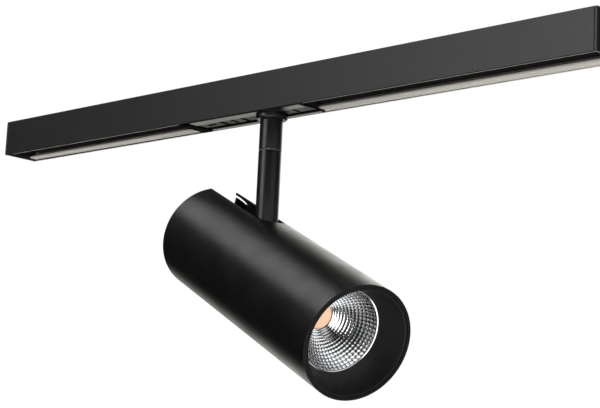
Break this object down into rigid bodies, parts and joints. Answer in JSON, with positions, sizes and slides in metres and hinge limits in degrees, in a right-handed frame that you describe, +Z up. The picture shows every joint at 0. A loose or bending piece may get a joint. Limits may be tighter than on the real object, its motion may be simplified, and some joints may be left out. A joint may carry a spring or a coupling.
{
  "type": "track spotlight",
  "caption": "Cylindrical LED spotlight on a swivelling stem, hung by a slide-in adapter from a length of three-circuit track; pans and tilts, deep faceted reflector.",
  "frame": {"origin": "on the ceiling face of the track, on the axis of the spotlight's stem", "axes": "+X along the track, +Z up into the ceiling, +Y across the track"},
  "size_m": [0.6602, 0.1453, 0.2673],
  "materials": {
    "track_paint": "fine-textured black powder coat",
    "insulator": "black insulating plastic",
    "copper": "bare copper",
    "black_plastic": "moulded black, semi-matte",
    "dial_plastic": "moulded dark grey",
    "tab_rubber": "ribbed black",
    "steel": "zinc-plated",
    "circuit_board": "green solder mask",
    "component_case": "moulded component cases",
    "nylon": "natural nylon",
    "cable_sheath": "white-grey insulation",
    "black_paint": "satin black powder coat",
    "anodised_aluminium": "black anodised",
    "led_substrate": "white-masked metal board",
    "led_phosphor": "yellow-orange phosphor",
    "holder_plastic": "white",
    "reflector_metal": "faceted vacuum-metallised mirror",
    "baffle_plastic": "matte black"
  },
  "bodies": {
    "track": {"track_extrusion": "track_paint", "insulator_near": "insulator", "insulator_far": "insulator", "track_conductors": "copper", "end_cap_left": "black_plastic", "end_cap_right": "black_plastic", "end_cap_screws": "steel"},
    "adapter": {"adapter_cover": "black_plastic", "adapter_shell": "black_plastic", "phase_switch": "insulator", "driver_board": "circuit_board", "driver_components": "component_case", "collar": "black_paint", "upper_stem": "black_paint", "hollow_rod": "steel", "rod_nut": "steel", "swivel_washer": "nylon", "spring_washer": "steel", "swivel_nut": "steel", "supply_cable": "cable_sheath"},
    "left_lock": {"lock_rotor_left": "dial_plastic", "contact_blade_left": "copper"},
    "right_lock": {"lock_rotor_right": "dial_plastic", "contact_blade_right": "copper"},
    "phase_selector": {"phase_dial": "dial_plastic"},
    "release": {"release_tab": "tab_rubber"},
    "swivel": {"lower_stem": "black_paint", "hinge_tongue": "black_paint", "stem_wires": "cable_sheath"},
    "head": {"hinge_bracket": "black_paint", "bracket_screws": "steel", "tilt_bolt": "steel", "tilt_nut": "steel", "friction_washers": "nylon", "head_tube": "black_paint", "heat_sink": "anodised_aluminium", "tube_screws": "steel", "support_posts": "anodised_aluminium", "rear_cover": "black_paint", "rear_cover_screws": "steel", "led_board": "led_substrate", "light_emitter": "led_phosphor", "led_holder": "holder_plastic", "holder_screws": "steel", "head_wires": "cable_sheath", "reflector": "reflector_metal", "front_baffle": "baffle_plastic"}
  },
  "joints": [
    {"name": "adapter_slide", "type": "slide", "parent": "track", "child": "adapter", "axis": [1, 0, 0], "range_m": [-0.22, 0.26]},
    {"name": "left_lock_turn", "type": "hinge", "parent": "adapter", "child": "left_lock", "pos_m": [-0.07, 0, -0.0303], "axis": [0, 0, 1], "range_deg": [0, 90]},
    {"name": "right_lock_turn", "type": "hinge", "parent": "adapter", "child": "right_lock", "pos_m": [0.027, 0, -0.0303], "axis": [0, 0, 1], "range_deg": [0, 90]},
    {"name": "phase_turn", "type": "hinge", "parent": "adapter", "child": "phase_selector", "pos_m": [-0.043, 0, -0.0303], "axis": [0, 0, 1], "range_deg": [-60, 60]},
    {"name": "release_press", "type": "slide", "parent": "adapter", "child": "release", "axis": [1, 0, 0], "range_m": [0, 0.002]},
    {"name": "pan", "type": "hinge", "parent": "adapter", "child": "swivel", "pos_m": [0, 0, -0.0622], "axis": [0, 0, 1], "range_deg": [-177, 177]},
    {"name": "tilt", "type": "hinge", "parent": "swivel", "child": "head", "pos_m": [0, 0, -0.1322], "axis": [0.2538, 0.9673, 0], "range_deg": [-24, 66]}
  ]
}
